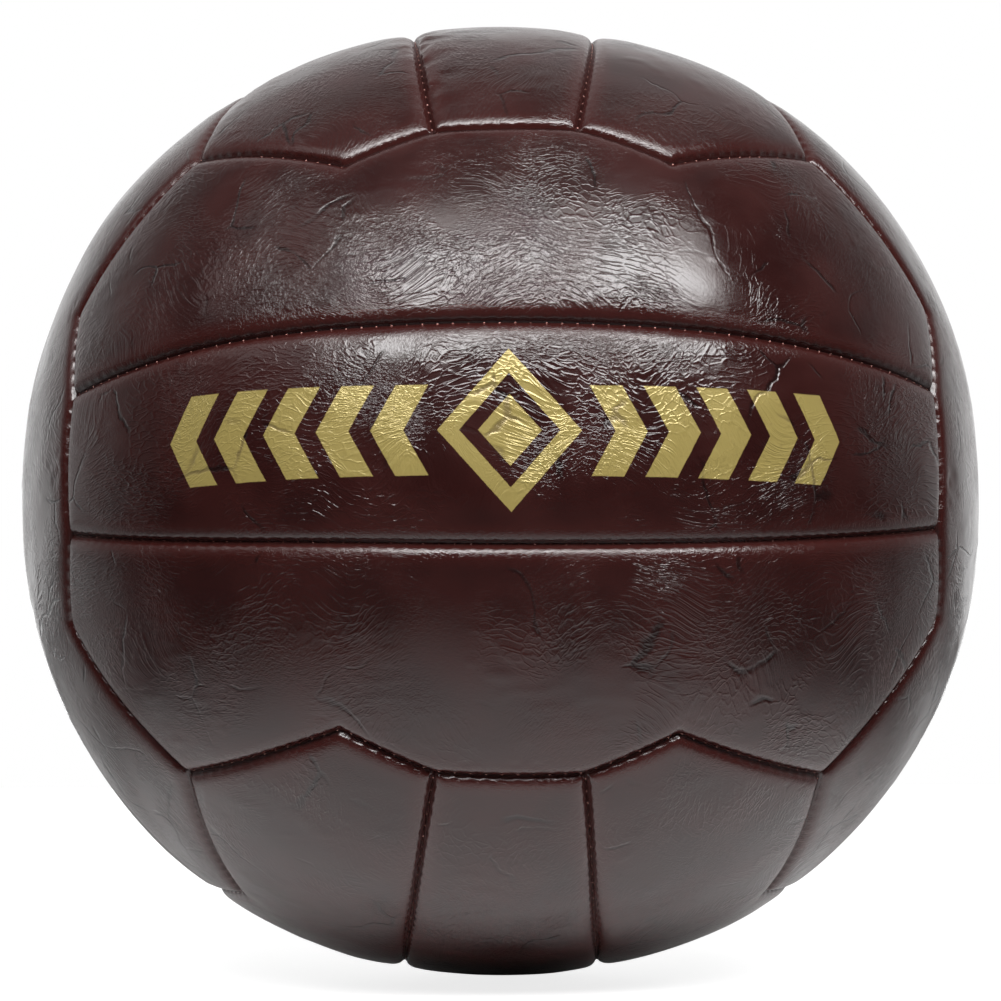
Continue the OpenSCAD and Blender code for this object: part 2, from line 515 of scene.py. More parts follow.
    def behind(self, inset):
        """Directions of the points behind the skin, this far in from the seams."""
        p = self.inner.reshape(-1, 3)
        insets = [np.full(len(p), inset)] * len(self.arcs)
        return self.place(push_from_seams(p, measure_seams(p, self.arcs), insets, 9.0))

    def close_back(self, points, depth, flat, faces, bottom):
        """The bottom of the turned-in edge and the back of the panel, with fewer points."""
        rows, columns = self.inner.shape[:2]
        p = self.inner.reshape(-1, 3)
        back = self.behind(LEATHER_T + 0.2)
        loop = loop_of(rows, columns)
        count = sum(len(part) for part in points)
        points.append(back[loop] * (self.inner_radius[loop] - FLANGE_DEPTH)[:, None])
        points.append(back * (self.inner_radius - LEATHER_T)[:, None])
        depth.append(np.full(len(loop), -FLANGE_DEPTH))
        depth.append(np.full(len(p), -FLANGE_DEPTH))
        flat.append(self.flat(p[loop]))
        flat.append(self.flat(p))
        low = np.arange(count, count + len(loop))
        step = np.arange(INNER_STRIDE + 1)
        outer = bottom[(np.arange(len(loop))[:, None] * INNER_STRIDE + step) % len(bottom)]
        faces.append(np.concatenate([outer[:, ::-1], low[:, None], np.roll(low, -1)[:, None]], axis=1))
        first = count + len(loop)
        faces.append(band_faces(low, first + loop))
        faces.append(grid_faces(rows, columns, first, True))

    def build_backing(self, name):
        """The cloth behind the leather, inside its turned-in edges. It's built after the leather."""
        rows, columns = self.inner.shape[:2]
        directions = self.behind(BACKING_INSET)
        layers = [directions * (self.inner_radius - LEATHER_T - down)[:, None] for down in (0.0, BACKING_T)]
        loop = loop_of(rows, columns)
        count = rows * columns
        faces = [
            grid_faces(rows, columns, 0, False), band_faces(loop, loop + count),
            grid_faces(rows, columns, count, True),
        ]
        flat = self.flat(self.inner.reshape(-1, 3))
        depth = [np.full(count, -down) for down in (0.0, BACKING_T)]
        return self.finish_mesh(name, layers, depth, [flat, flat], faces)

    def flat(self, p):
        """Where each point was on the flat cut of leather, in millimetres, with a number of its own."""
        along = np.arctan2(p[:, 0], -p[:, 1]) * BALL_R
        across = np.arcsin(np.clip(p[:, 2], -1, 1)) * BALL_R
        across = -across if self.mirror else across
        return np.stack([along, across, np.full(len(p), self.seed * 37.0)], axis=1)

    def finish_mesh(self, name, points, depth, flat, faces):
        lists = [face[::-1] if self.mirror else face for part in faces for face in part.tolist()]
        piece = new_mesh(name, np.concatenate(points) * MM, lists)
        add_attribute(piece, "seam_mm", "FLOAT", np.concatenate(depth))
        add_attribute(piece, "flat_mm", "FLOAT_VECTOR", np.concatenate(flat))
        return piece


# ---- Cloth simulation of the cover ----

# Frames that the simulation runs for, and the most it may move the leather in or out.
CLOTH_FRAMES = 14
CLOTH_MOST = 0.6
CLOTH_PRESSURE = 4.0


def in_between(coarse, rows, columns):
    """Smooth values for every point of a panel's grid, from those of every INNER_STRIDE-th point."""
    def weights(count, coarse_count):
        place = np.arange(count) / INNER_STRIDE
        table = np.zeros((count, coarse_count))
        for shift in (-1, 0, 1, 2):
            index = np.floor(place).astype(int) + shift
            away = np.abs(place - index)
            near = (1.5 * away - 2.5) * away ** 2 + 1
            far = ((2.5 - 0.5 * away) * away - 4) * away + 2
            share = np.where(away <= 1, near, np.where(away < 2, far, 0))
            np.add.at(table, (np.arange(count), np.clip(index, 0, coarse_count - 1)), share)
        return table
    return weights(rows, coarse.shape[0]) @ coarse @ weights(columns, coarse.shape[1]).T


def swell_cover(panels):
    """Pushes the leather out between its seams, as cloth over lumpy stuffing. Each panel gets its swell."""
    parts = [panel.cloth() for panel in panels]
    firsts = np.cumsum([0] + [len(part[1]) for part in parts])
    faces = [(part[2] + first).tolist() for part, first in zip(parts, firsts)]
    points = np.concatenate([part[1] for part in parts]) * MM
    directions = np.concatenate([part[0] for part in parts])
    piece = new_mesh("swelling_cover", points, [face for some in faces for face in some])
    held = np.concatenate([part[3] for part in parts])
    lumps = 0.6 + 0.2 * waves(directions, 32, 601) + 0.06 * waves(directions, 14, 602)
    for name, values in (("held", held), ("lumps", np.clip(lumps, 0, 1))):
        group = piece.vertex_groups.new(name=name)
        for i, value in enumerate(values):
            group.add([i], float(value), "REPLACE")
    moved = simulate(piece)
    swell = np.clip(np.sum((moved - points) / MM * directions, axis=1), -CLOTH_MOST, CLOTH_MOST)
    for panel, first, last in zip(panels, firsts, firsts[1:]):
        panel.swell = swell[first:last].reshape(panel.inner.shape[:2])


def simulate(piece):
    """Runs the cloth simulation on a piece, removes the piece, and returns where its points came to."""
    modifier = piece.modifiers.new("cloth", "CLOTH")
    cloth = modifier.settings
    cloth.quality = 6
    cloth.mass = 0.2
    cloth.tension_stiffness = cloth.compression_stiffness = 15.0
    cloth.shear_stiffness = 5.0
    cloth.bending_stiffness = 1.5
    cloth.shrink_min = -0.0008
    cloth.use_pressure = True
    cloth.uniform_pressure_force = CLOTH_PRESSURE
    cloth.vertex_group_pressure = "lumps"
    cloth.vertex_group_mass = "held"
    cloth.effector_weights.gravity = 0.0
    modifier.collision_settings.use_collision = False
    modifier.point_cache.frame_start = 1
    modifier.point_cache.frame_end = CLOTH_FRAMES
    for step in range(1, CLOTH_FRAMES + 1):
        bpy.context.scene.frame_set(step)
    result = piece.evaluated_get(bpy.context.evaluated_depsgraph_get())
    moved = np.zeros(3 * len(result.data.vertices), np.float32)
    result.data.vertices.foreach_get("co", moved)
    mesh = piece.data
    bpy.data.objects.remove(piece)
    bpy.data.meshes.remove(mesh)
    bpy.context.scene.frame_set(1)
    return moved.reshape(-1, 3).astype(float)


# ---- Meshes ----


def new_mesh(name, points, faces):
    mesh = bpy.data.meshes.new(name)
    mesh.from_pydata(points.tolist(), [], faces)
    return smooth_piece(name, mesh)


def smooth_piece(name, mesh):
    """A piece with this mesh, smooth shaded."""
    mesh.polygons.foreach_set("use_smooth", np.ones(len(mesh.polygons), bool))
    mesh.update()
    piece = bpy.data.objects.new(name, mesh)
    bpy.context.scene.collection.objects.link(piece)
    return piece


def add_attribute(piece, name, kind, values):
    attribute = piece.data.attributes.new(name, kind, "POINT")
    key = "value" if kind == "FLOAT" else "vector"
    attribute.data.foreach_set(key, np.asarray(values, np.float32).ravel())


def tube(path, radius, sides=8):
    """A round tube along a path, closed at both ends: points, faces, and each point's length and turn."""
    ahead = unit(np.gradient(path, axis=0))
    out = unit(path)
    side = unit(np.cross(ahead, out))
    out = np.cross(side, ahead)
    angle = np.arange(sides) * 2 * math.pi / sides
    ring = np.cos(angle)[None, :, None] * side[:, None] + np.sin(angle)[None, :, None] * out[:, None]
    points = (path[:, None] + ring * radius).reshape(-1, 3)
    count = len(path)
    index = np.arange(count * sides).reshape(count, sides)
    nxt = np.roll(index, -1, axis=1)
    quads = np.stack([index[:-1], nxt[:-1], nxt[1:], index[1:]], axis=-1).reshape(-1, 4)
    faces = quads.tolist() + [index[0, ::-1].tolist(), index[-1].tolist()]
    travelled = np.concatenate([[0], np.cumsum(np.linalg.norm(np.diff(path, axis=0), axis=1))])
    lay = np.stack([
        np.repeat(travelled, sides), np.tile(angle, count), np.zeros(count * sides),
    ], axis=1)
    return points, faces, lay


# ---- Thread ----

# How far the thread swings to either side of the seam, how far below the panels' edges it crosses from
# one to the other, and how much deeper it runs inside them.
THREAD_REACH = 1.0
THREAD_DEPTH = 0.3
THREAD_DIP = 1.3
# The bare ends of a seam, as a share of a stitch, how fast the thread crosses over, and its points a stitch.
THREAD_END = 0.35
THREAD_TURN = 3.2
THREAD_POINTS = 14


def seam_path(arcs, turn_matrix):
    """The thread's zigzag through one seam: across at each stitch, then along inside the leather."""
    total = arcs[0].total
    pitch = total / round(total / STITCH_PITCH)
    place = np.arange(THREAD_END * pitch, total - THREAD_END * pitch, pitch / THREAD_POINTS)
    shares = place / total
    middle = along_side(arcs, shares)
    measures = measure_seams(middle, arcs)
    nearest = np.argmin([m[0] for m in measures], axis=0)
    normals = np.array([arc.normal for arc in arcs])[nearest]
    sideways = unit(normals - np.sum(normals * middle, axis=1, keepdims=True) * middle)
    swing = np.tanh(THREAD_TURN * np.cos(math.pi * place / pitch)) * THREAD_REACH
    dip = THREAD_DIP * np.abs(swing / THREAD_REACH) ** 2
    p = sewn(unit(middle + sideways * (swing / BALL_R)[:, None]) @ turn_matrix.T)
    radius = ball_radius(p) - EDGE_DROP - CROWN_DROP - THREAD_DEPTH - dip
    return p * radius[:, None]


def thread_piece(name, paths):
    points, faces, lays, count = [], [], [], 0
    for path in paths:
        more_points, more_faces, lay = tube(path, THREAD_D / 2)
        points.append(more_points)
        faces += [[i + count for i in face] for face in more_faces]
        lays.append(lay)
        count += len(more_points)
    piece = new_mesh(name, np.concatenate(points) * MM, faces)
    add_attribute(piece, "lay_mm", "FLOAT_VECTOR", np.concatenate(lays))
    return piece


# ---- Stuffing and core ----

# Gap between the upper and lower halves, and clearance round the core's pieces.
PARTING = 0.2
CORE_GAP = 0.4
CORE_BAG_R = 32.0
CORE_BAG_T = 1.2
GRANULE_D = 2.6
GRANULES = 1900
# How far the stuffing lies below the leather's outside, and how much further under the turned-in edges.
STUFFING_DEPTH = 3.5
STUFFING_DIP = 3.9


def nearest_seam(p):
    """Distance in millimetres to the nearest seam of the whole cover."""
    strips = [STRIP_SEAM, mirrored_arc(STRIP_SEAM)]
    turned = [(p @ group_turn(group), strips) for group in GROUPS]
    turned += [(p @ edge_turn(edge), RIGHT_SEAM) for edge in EDGES]
    return np.min([arc.measure(q)[0] for q, arcs in turned for arc in arcs], axis=0)


def stuffing_radius(p):
    """The packed fibre swells up behind each panel and stays under its turned-in edges."""
    distance = nearest_seam(p)
    under_edge = 1 - smooth_step(2.5, 9.0, distance)
    outside = ball_radius(p) - edge_profile(distance)
    return outside - STUFFING_DEPTH - STUFFING_DIP * under_edge + 0.15 * waves(p, 9, 401)


def core_bag_radius(p):
    """The bag is drawn in and gathered a little at its seam round the middle."""
    height = np.abs(p[:, 2]) * CORE_BAG_R
    turn_about_z = np.arctan2(p[:, 1], p[:, 0])
    gathers = 0.25 * np.cos(46 * turn_about_z) * np.exp(-height / 5)
    return CORE_BAG_R - 0.7 * np.exp(-height / 2.5) + gathers - 0.3 + 0.1 * waves(p, 16, 402)


def half_shell(name, outer, inner, way, rings, around):
    """Half of a hollow ball, above (way 1) or below (-1) its parting plane, as a closed mesh.

    outer and inner give the radius in millimetres in each direction.
    """
    lat = (np.arange(rings) / rings * math.pi / 2)[:, None]
    long = (np.arange(around) * 2 * math.pi / around)[None, :]
    height = way * np.sin(lat) + 0 * long
    p = np.stack([np.cos(lat) * np.cos(long), np.cos(lat) * np.sin(long), height], axis=-1)
    p = np.concatenate([p.reshape(-1, 3), [[0, 0, way]]])
    count = len(p)
    points = np.concatenate([p * outer(p)[:, None], p * inner(p)[:, None]])
    points[:, 2] += way * PARTING / 2
    index = np.arange(rings * around).reshape(rings, around)
    beside = np.roll(index, -1, axis=1)
    skin = np.stack([index[:-1], beside[:-1], beside[1:], index[1:]], axis=-1).reshape(-1, 4).tolist()
    skin += [[a, b, count - 1] for a, b in zip(index[-1], beside[-1])]
    faces = skin + [[i + count for i in face[::-1]] for face in skin]
    faces += [[a, a + count, b + count, b] for a, b in zip(index[0], beside[0])]
    piece = new_mesh(name, points * MM, faces if way > 0 else [face[::-1] for face in faces])
    flat = np.stack([np.arctan2(p[:, 1], p[:, 0]), np.arcsin(p[:, 2]), 0 * p[:, 0]], axis=1) * CORE_BAG_R
    add_attribute(piece, "flat_mm", "FLOAT_VECTOR", np.concatenate([flat, flat]))
    return piece


def spread(count, seed):
    """Directions spread evenly over the sphere, then moved a little at random."""
    random = np.random.default_rng(seed)
    step = np.arange(count) + 0.5
    z = 1 - 2 * step / count
    angle = step * math.pi * (1 + math.sqrt(5))
    flat = np.sqrt(1 - z ** 2)
    p = np.stack([flat * np.cos(angle), flat * np.sin(angle), z], axis=1)
    return unit(p + random.normal(size=p.shape) * 0.25 / math.sqrt(count))


def granules(name):
    """The core's filling: iron granules packed against the bag."""
    shape = bmesh.new()
    bmesh.ops.create_icosphere(shape, subdivisions=6, radius=1.0)
    centres = spread(GRANULES, 403)
    tree = KDTree(len(centres))
    for i, centre in enumerate(centres):
        tree.insert(centre, i)
    tree.balance()
    near = np.array([tree.find(v.co)[2] for v in shape.verts]) * CORE_BAG_R / (GRANULE_D / 2)
    p = unit(np.array([v.co for v in shape.verts]))
    dome = np.sqrt(np.clip(1 - near ** 2, 0, 1)) * GRANULE_D / 2
    radius = core_bag_radius(p) - CORE_BAG_T - CORE_GAP - GRANULE_D / 2 + dome
    for v, direction, r in zip(shape.verts, p, radius):
        v.co = direction * r * MM
    mesh = bpy.data.meshes.new(name)
    shape.to_mesh(mesh)
    shape.free()
    return smooth_piece(name, mesh)


# ---- Materials ----


def new_material(name):
    material = bpy.data.materials.new(name)
    material.use_nodes = True
    tree = material.node_tree
    return material, tree, tree.nodes["Principled BSDF"]


def node(tree, kind, inputs=None, **settings):
    """Adds a node, with values or links on its inputs."""
    made = tree.nodes.new("ShaderNode" + kind)
    for key, value in settings.items():
        setattr(made, key, value)
    for key, value in (inputs or {}).items():
        put(tree, made.inputs[key], value)
    return made


def put(tree, socket, value):
    if isinstance(value, bpy.types.NodeSocket):
        tree.links.new(value, socket)
    else:
        socket.default_value = value


def calc(tree, operation, a, b=None, c=None):
    inputs = {i: v for i, v in enumerate((a, b, c)) if v is not None}
    return node(tree, "Math", inputs, operation=operation).outputs[0]


def ramp(tree, value, low, high, to_low=0.0, to_high=1.0):
    """Smoothly from to_low to to_high as value goes from low to high."""
    return node(tree, "MapRange", {
        "Value": value, "From Min": low, "From Max": high, "To Min": to_low, "To Max": to_high,
    }, interpolation_type="SMOOTHSTEP").outputs[0]


def noise(tree, vector, size, detail=2.0, rough=0.5, twist=0.0):
    """Noise whose features are about this many millimetres across."""
    return node(tree, "TexNoise", {
        "Vector": vector, "Scale": 1 / size, "Detail": detail, "Roughness": rough, "Distortion": twist,
    })


def mix_colour(tree, share, a, b):
    made = node(tree, "Mix", data_type="RGBA")
    put(tree, made.inputs[0], share)
    put(tree, made.inputs[6], a)
    put(tree, made.inputs[7], b)
    return made.outputs[2]


def add_bump(tree, shader, height, distance):
    """Gives the shader a relief of this height, times a distance in millimetres."""
    bump = node(tree, "Bump", {"Height": height, "Distance": distance * MM, "Strength": 1.0})
    put(tree, shader.inputs["Normal"], bump.outputs[0])


def warped(tree, vector, size, reach):
    """The same coordinates, pushed about by up to this reach over this size."""
    push = node(tree, "VectorMath", {0: noise(tree, vector, size, 1.0).outputs["Color"], 1: (0.5, 0.5, 0.5)},
                operation="SUBTRACT").outputs[0]
    return node(tree, "VectorMath", {0: push, 1: (2 * reach, 2 * reach, 0.0), 2: vector},
                operation="MULTIPLY_ADD").outputs[0]


def wrinkles(tree, vector, angle, across, along, place):
    """A net of thin ridges, drawn out along one angle to the panel's length. place picks the pattern."""
    turned = node(tree, "Mapping", {
        "Vector": vector, "Location": (place, -place, 0.0), "Rotation": (0.0, 0.0, math.radians(angle)),
        "Scale": (1 / along, 1 / across, 1.0),
    }, vector_type="POINT").outputs[0]
    edge = node(tree, "TexVoronoi", {"Vector": turned, "Scale": 1.0},
                feature="DISTANCE_TO_EDGE", voronoi_dimensions="3D").outputs["Distance"]
    return ramp(tree, edge, 0.0, 0.15, 1.0, 0.0)


def patches(tree, vector, size, low, high, place):
    """Soft patches where a pattern shows."""
    moved = node(tree, "VectorMath", {0: vector, 1: (place, place * 0.7, place * 0.3)}).outputs[0]
    return ramp(tree, noise(tree, moved, size, 1.5).outputs["Fac"], low, high)


def weighted_sum(tree, terms):
    total = None
    for value, weight in terms:
        part = calc(tree, "MULTIPLY", value, weight)
        total = part if total is None else calc(tree, "ADD", total, part)
    return total


def leather_creases(tree, flat, seam):
    """Height of the leather's surface in millimetres, and its long creases from 0 to 1.

    Nets of thin ridges show in patches, between a few long creases, on a fine grain. The leather paints the
    long creases darker, as painted shade.
    """
    bent = warped(tree, flat, 30.0, 16.0)
    curly = warped(tree, bent, 2.6, 0.75)
    bundles = [
        (wrinkles(tree, curly, 24.0, 1.4, 3.6, 0.0), patches(tree, flat, 24.0, 0.45, 0.54, 0.0)),
        (wrinkles(tree, curly, -38.0, 1.25, 3.1, 31.0), patches(tree, flat, 19.0, 0.5, 0.58, 67.0)),
        (wrinkles(tree, curly, 78.0, 1.3, 3.0, 91.0), patches(tree, flat, 21.0, 0.51, 0.6, 211.0)),
    ]
    shown = [calc(tree, "MULTIPLY", ridge, where) for ridge, where in bundles]
    crinkle_wave = noise(tree, curly, 0.85, 2.0, 0.55, 0.3).outputs["Fac"]
    from_middle = calc(tree, "ABSOLUTE", calc(tree, "SUBTRACT", crinkle_wave, 0.5))
    crinkle = ramp(tree, from_middle, 0.0, 0.14, 1.0, 0.0)
    crinkle_where = patches(tree, flat, 30.0, 0.38, 0.6, 301.0)
    cells = node(tree, "TexVoronoi", {
        "Vector": warped(tree, warped(tree, flat, 14.0, 5.0), 2.4, 0.6), "Scale": 1 / 24.0,
    }, feature="DISTANCE_TO_EDGE", voronoi_dimensions="3D").outputs["Distance"]
    long_where = patches(tree, flat, 15.0, 0.49, 0.58, 401.0)
    long_crease = calc(tree, "MULTIPLY", ramp(tree, cells, 0.004, 0.022, 1.0, 0.0), long_where)
    grain = noise(tree, flat, 0.55, 2.0, 0.6).outputs["Fac"]
    creased = calc(tree, "MULTIPLY", ramp(tree, seam, 1.5, 4.0), patches(tree, flat, 48.0, 0.32, 0.5, 501.0))
    height = weighted_sum(tree, [
        (shown[0], 0.043), (shown[1], 0.04), (shown[2], 0.038), (long_crease, -0.1),
    ])
    height = calc(tree, "MULTIPLY", height, creased)
    on_edge = calc(tree, "MULTIPLY", ramp(tree, seam, 0.0, 1.0), ramp(tree, seam, 2.6, 4.2, 1.0, 0.0))
    crinkled = calc(tree, "MAXIMUM", crinkle_where, on_edge)
    height = calc(tree, "MULTIPLY_ADD", calc(tree, "MULTIPLY", crinkle, crinkled), 0.026, height)
    height = calc(tree, "MULTIPLY_ADD", grain, 0.02, height)
    return height, calc(tree, "MULTIPLY", long_crease, creased)


# The gold print on the front band: a lozenge between two rows of pointed bars, in millimetres or shares.
PRINT_MIDDLE = 0.3
LOZENGE_WIDTH = 15.0
LOZENGE_HEIGHT = 17.0
RING_INSIDE = 0.7
HEART_SHARE = 0.44
BARS_START = 22.0
BARS_PITCH = 11.4
BARS_COUNT = 5
BAR_SHARE = 0.6
BAR_SLANT = 0.55
BAR_HEIGHT = 9.4
PRINT_EDGE = 0.12


def below(tree, value, limit, soft=PRINT_EDGE):
    """1 where value is less than limit, 0 where it's more, with a soft edge."""
    return ramp(tree, value, calc(tree, "SUBTRACT", limit, soft), calc(tree, "ADD", limit, soft), 1.0, 0.0)


def ornament(tree, flat):
    """1 on the gold print, 0 off it."""
    parts = node(tree, "SeparateXYZ", {0: warped(tree, flat, 2.5, 0.1)})
    x = calc(tree, "ABSOLUTE", parts.outputs[0])
    y = calc(tree, "ABSOLUTE", calc(tree, "SUBTRACT", parts.outputs[1], PRINT_MIDDLE))
    across = calc(tree, "MULTIPLY", x, LOZENGE_HEIGHT / LOZENGE_WIDTH)
    lozenge = calc(tree, "ADD", across, y)
    inside = below(tree, lozenge, RING_INSIDE * LOZENGE_HEIGHT)
    ring = calc(tree, "SUBTRACT", below(tree, lozenge, LOZENGE_HEIGHT), inside)
    heart = below(tree, lozenge, HEART_SHARE * LOZENGE_HEIGHT)
    slant = calc(tree, "SUBTRACT", calc(tree, "MULTIPLY_ADD", y, BAR_SLANT, x), BARS_START)
    in_bar = calc(tree, "PINGPONG", calc(tree, "SUBTRACT", slant, BARS_PITCH * BAR_SHARE / 2), BARS_PITCH / 2)
    bars = below(tree, in_bar, BARS_PITCH * BAR_SHARE / 2)
    shown = calc(tree, "MULTIPLY", below(tree, y, BAR_HEIGHT), calc(tree, "GREATER_THAN", slant, -1.0))
    shown = calc(tree, "MULTIPLY", shown, calc(tree, "LESS_THAN", slant, BARS_PITCH * (BARS_COUNT - 0.2)))
    bars = calc(tree, "MULTIPLY", bars, shown)
    return calc(tree, "MAXIMUM", calc(tree, "MAXIMUM", ring, heart), bars)


def rgb(red, green, blue):
    return red, green, blue, 1.0


LEATHER_DARK = rgb(0.0165, 0.0039, 0.0036)
LEATHER_WARM = rgb(0.037, 0.0082, 0.007)
# Near black, used as painted shade in the seam grooves and the long creases.
LEATHER_PAINTED_SHADE = rgb(0.003, 0.0012, 0.0012)
GOLD = rgb(0.3, 0.235, 0.075)
GOLD_WORN = rgb(0.18, 0.135, 0.05)
THREAD_DARK = rgb(0.2, 0.06, 0.05)
# Pale pink, a painted highlight on the crests of the thread's plies.
THREAD_PAINTED_HIGHLIGHT = rgb(0.62, 0.3, 0.26)
THREAD_FIBRE = rgb(0.6, 0.35, 0.3)
# Dark grey, painted shade between the strands of the packed fibre.
FIBRE_PAINTED_SHADE = rgb(0.2, 0.19, 0.18)
FIBRE_PALE = rgb(0.62, 0.6, 0.56)
FIBRE_BLUE = rgb(0.16, 0.24, 0.38)
FIBRE_RED = rgb(0.4, 0.17, 0.13)
IRON = rgb(0.2, 0.2, 0.21)
RUST = rgb(0.17, 0.07, 0.035)


def cover_leather(name, printed=False):
    material, tree, shader = new_material(name)
    flat = node(tree, "Attribute", attribute_name="flat_mm").outputs["Vector"]
    seam = node(tree, "Attribute", attribute_name="seam_mm").outputs["Fac"]
    height, long_crease = leather_creases(tree, flat, seam)
    mottle = noise(tree, flat, 17.0, 3.0).outputs["Fac"]
    colour = mix_colour(tree, ramp(tree, mottle, 0.3, 0.7, 0.0, 0.45), LEATHER_DARK, LEATHER_WARM)
    colour = mix_colour(tree, ramp(tree, seam, 0.5, 6.0, 0.7, 0.0), colour, LEATHER_WARM)
    # Painted shade: the groove between the panels and the turned-in edges down in it are painted near black,
    # as if in shadow. The same mask makes them rougher.
    in_groove = ramp(tree, seam, -0.5, 0.25, 1.0, 0.0)
    colour = mix_colour(tree, in_groove, colour, LEATHER_PAINTED_SHADE)
    # Painted shade: the long creases are painted darker.
    colour = mix_colour(tree, calc(tree, "MULTIPLY", long_crease, 0.7), colour, LEATHER_PAINTED_SHADE)
    rough = calc(tree, "MULTIPLY_ADD", in_groove, 0.5, ramp(tree, mottle, 0.3, 0.7, 0.15, 0.22))
    if printed:
        gold = ornament(tree, flat)
        wear = ramp(tree, noise(tree, flat, 1.1, 4.0, 0.65).outputs["Fac"], 0.58, 0.72, 0.0, 0.4)
        foil = mix_colour(tree, calc(tree, "MAXIMUM", wear, long_crease), GOLD, GOLD_WORN)
        colour = mix_colour(tree, gold, colour, foil)
        rough = calc(tree, "MULTIPLY_ADD", gold, 0.08, rough)
        put(tree, shader.inputs["Metallic"], calc(tree, "MULTIPLY", gold, 0.25))
    put(tree, shader.inputs["Base Color"], colour)
    put(tree, shader.inputs["Roughness"], rough)
    add_bump(tree, shader, height, 1.0)
    shader.inputs["Specular IOR Level"].default_value = 0.5
    return material


# Length of one turn of the thread's twist, in millimetres.
THREAD_LAY = 0.9


def sewing_thread():
    material, tree, shader = new_material("sewing_thread")
    lay = node(tree, "Attribute", attribute_name="lay_mm").outputs["Vector"]
    parts = node(tree, "SeparateXYZ", {0: lay})
    twist = calc(tree, "MULTIPLY_ADD", parts.outputs[0], 2 * math.pi / THREAD_LAY, parts.outputs[1])
    ply = calc(tree, "ABSOLUTE", calc(tree, "SINE", calc(tree, "MULTIPLY", twist, 1.5)))
    fibre = noise(tree, lay, 0.12, 2.0).outputs["Fac"]
    # Painted highlight: the thread is painted lighter and pinker on the crests of its plies, following their
    # height.
    colour = mix_colour(tree, ply, THREAD_DARK, THREAD_PAINTED_HIGHLIGHT)
    colour = mix_colour(tree, calc(tree, "MULTIPLY", fibre, 0.3), colour, THREAD_FIBRE)
    put(tree, shader.inputs["Base Color"], colour)
    shader.inputs["Roughness"].default_value = 0.38
    height = calc(tree, "MULTIPLY_ADD", fibre, 0.3, ply)
    add_bump(tree, shader, height, 0.12)
    return material


def woven_cloth(name, light, painted_shade, pitch):
    """Plain weave: threads this far apart in millimetres, over and under each other."""
    material, tree, shader = new_material(name)
    flat = node(tree, "Attribute", attribute_name="flat_mm").outputs["Vector"]
    parts = node(tree, "SeparateXYZ", {0: warped(tree, flat, 4.0, 0.15)})
    turns = [calc(tree, "MULTIPLY", parts.outputs[i], math.pi / pitch) for i in (0, 1)]
    weave = [calc(tree, "SINE", turn) for turn in turns]
    over = calc(tree, "MULTIPLY", weave[0], weave[1])
    fibre = noise(tree, flat, 0.3, 3.0, 0.6).outputs["Fac"]
    height = calc(tree, "MULTIPLY_ADD", calc(tree, "ABSOLUTE", over), 0.8, calc(tree, "MULTIPLY", fibre, 0.4))
    # Painted shade: the colour goes darker where the weave lies low, between its crossings.
    colour = mix_colour(tree, ramp(tree, height, 0.15, 0.9), painted_shade, light)
    put(tree, shader.inputs["Base Color"], colour)
    shader.inputs["Roughness"].default_value = 0.9
    add_bump(tree, shader, height, pitch * 0.25)
    return material


def packed_fibre():
    """Matted textile waste: pale grey with coloured threads running every way, and painted shade where the
    strands lie low.
    """
    material, tree, shader = new_material("packed_fibre")
    in_metres = node(tree, "TexCoord").outputs["Object"]
    to_mm = 3 * (1 / MM,)
    place = node(tree, "VectorMath", {0: in_metres, 1: to_mm}, operation="MULTIPLY").outputs[0]
    strands = []
    for angle in (20.0, 75.0, 140.0):
        turned = node(tree, "Mapping", {
            "Vector": warped(tree, place, 6.0, 2.0), "Scale": (0.12, 1.9, 1.9),
            "Rotation": (angle / 50, angle / 80, math.radians(angle)),
        }).outputs[0]
        strands.append(noise(tree, turned, 1.0, 2.0, 0.5).outputs["Fac"])
    height = calc(tree, "MAXIMUM", calc(tree, "MAXIMUM", strands[0], strands[1]), strands[2])
    tint = noise(tree, place, 5.0, 2.0, 0.6).outputs["Fac"]
    # Painted shade: the fibre is painted dark where its strands lie low.
    colour = mix_colour(tree, ramp(tree, height, 0.5, 0.75), FIBRE_PAINTED_SHADE, FIBRE_PALE)
    colour = mix_colour(tree, ramp(tree, tint, 0.5, 0.68, 0.0, 0.5), colour, FIBRE_BLUE)
    colour = mix_colour(tree, ramp(tree, tint, 0.46, 0.34, 0.0, 0.4), colour, FIBRE_RED)
    put(tree, shader.inputs["Base Color"], colour)
    shader.inputs["Roughness"].default_value = 0.95
    add_bump(tree, shader, height, 0.9)
    return material


def iron_granules():
    material, tree, shader = new_material("iron_granules")
    place = node(tree, "TexCoord").outputs["Object"]
    rust = node(tree, "TexNoise", {"Vector": place, "Scale": 420.0, "Detail": 3.0}).outputs["Fac"]
    colour = mix_colour(tree, ramp(tree, rust, 0.5, 0.68), IRON, RUST)
    put(tree, shader.inputs["Base Color"], colour)
    shader.inputs["Metallic"].default_value = 0.85
    put(tree, shader.inputs["Roughness"], ramp(tree, rust, 0.4, 0.7, 0.42, 0.8))
    return material


# ---- The cover ----


def fit_out(piece, node_name, material):
    """Gives a piece its material, and puts it in the place of its CAD node."""
    piece.data.materials.append(material)
    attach(piece, "root")
    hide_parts(node_name)


PRINTED_PANEL = ("front", "middle")


def make_cover(leather, printed, cloth):
    places = [(group, strip, side) for group, row in GROUPS.items() for side, strip in zip(SIDES, row[2])]
    panels = [Panel(group, side, 25 + 5 * i) for i, (group, _, side) in enumerate(places)]
    swell_cover(panels)
    for panel, (group, strip, _) in zip(panels, places):
        finish = printed if (group, strip) == PRINTED_PANEL else leather
        piece = panel.build(f"leather_{group}_{strip}")
        fit_out(piece, f"panel_{group}_{strip}", finish)
        backing = panel.build_backing(f"cloth_{group}_{strip}")
        fit_out(backing, f"backing_{group}_{strip}", cloth)


